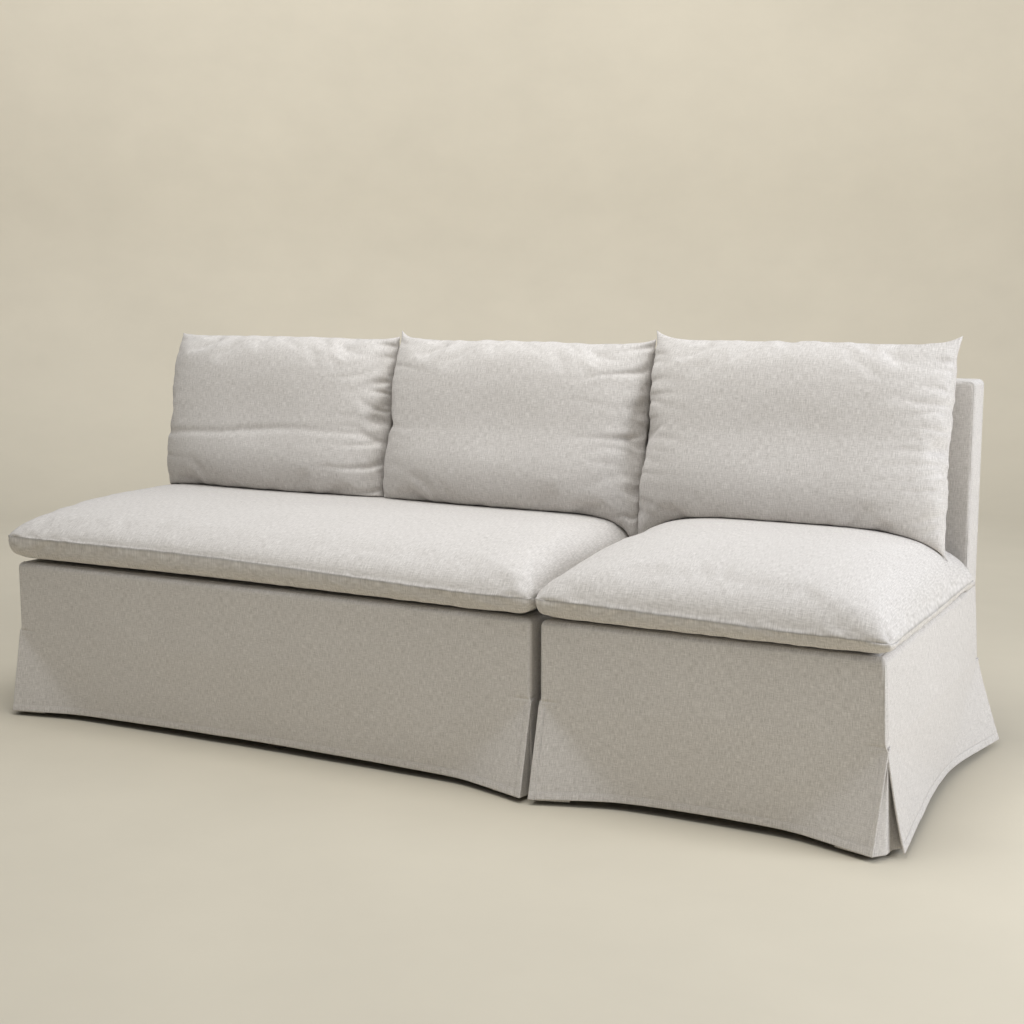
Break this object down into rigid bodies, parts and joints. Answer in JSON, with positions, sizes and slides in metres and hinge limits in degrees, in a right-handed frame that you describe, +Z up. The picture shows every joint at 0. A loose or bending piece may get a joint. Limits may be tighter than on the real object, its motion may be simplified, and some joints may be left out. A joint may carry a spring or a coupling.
{
  "type": "dining banquette",
  "caption": "Slipcovered dining banquette of a two-seat and a one-seat module, with flared kick-pleat skirts, loose crowned seat cushions and loose knife-edge back cushions",
  "frame": {"origin": "On the floor, under the middle of the two modules' overall box.", "axes": "+Z up. The seats face -Y and the backs stand at +Y. +X runs from the two-seat module to the one-seat module, to the right as seen by someone facing the seats."},
  "size_m": [2.246, 0.9, 0.9428],
  "materials": {
    "cover_linen": "washed plain-weave linen, oatmeal, with fine slubs",
    "frame_timber": "bare planed hardwood",
    "webbing": "woven jute webbing",
    "padding": "undyed foam and fibre wadding",
    "glide_plastic": "moulded black polyethylene"
  },
  "bodies": {
    "centre_back_cushion": {"centre_back_cushion_cover": "cover_linen", "centre_back_cushion_fill": "padding"},
    "double_module": {"double_back_pad": "padding", "double_back_posts": "frame_timber", "double_back_rail": "frame_timber", "double_back_tack_rail": "frame_timber", "double_back_top_rail": "frame_timber", "double_back_webbing": "webbing", "double_centre_rail": "frame_timber", "double_corner_blocks": "frame_timber", "double_cover_back_boxing": "cover_linen", "double_cover_deck": "cover_linen", "double_cover_front": "cover_linen", "double_cover_inside_back": "cover_linen", "double_cover_left_side": "cover_linen", "double_cover_outside_back": "cover_linen", "double_cover_pleat_underlays": "cover_linen", "double_cover_right_side": "cover_linen", "double_deck_pad": "padding", "double_front_legs": "frame_timber", "double_front_rail": "frame_timber", "double_left_side_rail": "frame_timber", "double_leg_glides": "glide_plastic", "double_right_side_rail": "frame_timber", "double_seat_webbing_cross": "webbing", "double_seat_webbing_long": "webbing"},
    "double_seat_cushion": {"double_seat_cushion_core": "padding", "double_seat_cushion_cover": "cover_linen"},
    "left_back_cushion": {"left_back_cushion_cover": "cover_linen", "left_back_cushion_fill": "padding"},
    "right_back_cushion": {"right_back_cushion_cover": "cover_linen", "right_back_cushion_fill": "padding"},
    "single_module": {"single_back_pad": "padding", "single_back_posts": "frame_timber", "single_back_rail": "frame_timber", "single_back_tack_rail": "frame_timber", "single_back_top_rail": "frame_timber", "single_back_webbing": "webbing", "single_corner_blocks": "frame_timber", "single_cover_back_boxing": "cover_linen", "single_cover_deck": "cover_linen", "single_cover_front": "cover_linen", "single_cover_inside_back": "cover_linen", "single_cover_left_side": "cover_linen", "single_cover_outside_back": "cover_linen", "single_cover_pleat_underlays": "cover_linen", "single_cover_right_side": "cover_linen", "single_deck_pad": "padding", "single_front_legs": "frame_timber", "single_front_rail": "frame_timber", "single_left_side_rail": "frame_timber", "single_leg_glides": "glide_plastic", "single_right_side_rail": "frame_timber", "single_seat_webbing_cross": "webbing", "single_seat_webbing_long": "webbing"},
    "single_seat_cushion": {"single_seat_cushion_core": "padding", "single_seat_cushion_cover": "cover_linen"}
  },
  "joints": [
    {"name": "single_module_slide", "type": "slide", "parent": "double_module", "child": "single_module", "axis": [1, 0, 0], "range_m": [0, 0.5]},
    {"name": "double_seat_cushion_lift", "type": "slide", "parent": "double_module", "child": "double_seat_cushion", "axis": [0, 0, 1], "range_m": [0, 0.35]},
    {"name": "single_seat_cushion_lift", "type": "slide", "parent": "single_module", "child": "single_seat_cushion", "axis": [0, 0, 1], "range_m": [0, 0.35]},
    {"name": "left_back_cushion_lift", "type": "slide", "parent": "double_seat_cushion", "child": "left_back_cushion", "axis": [0, 0, 1], "range_m": [0, 0.35]},
    {"name": "centre_back_cushion_lift", "type": "slide", "parent": "double_seat_cushion", "child": "centre_back_cushion", "axis": [0, 0, 1], "range_m": [0, 0.35]},
    {"name": "right_back_cushion_lift", "type": "slide", "parent": "single_seat_cushion", "child": "right_back_cushion", "axis": [0, 0, 1], "range_m": [0, 0.35]}
  ]
}
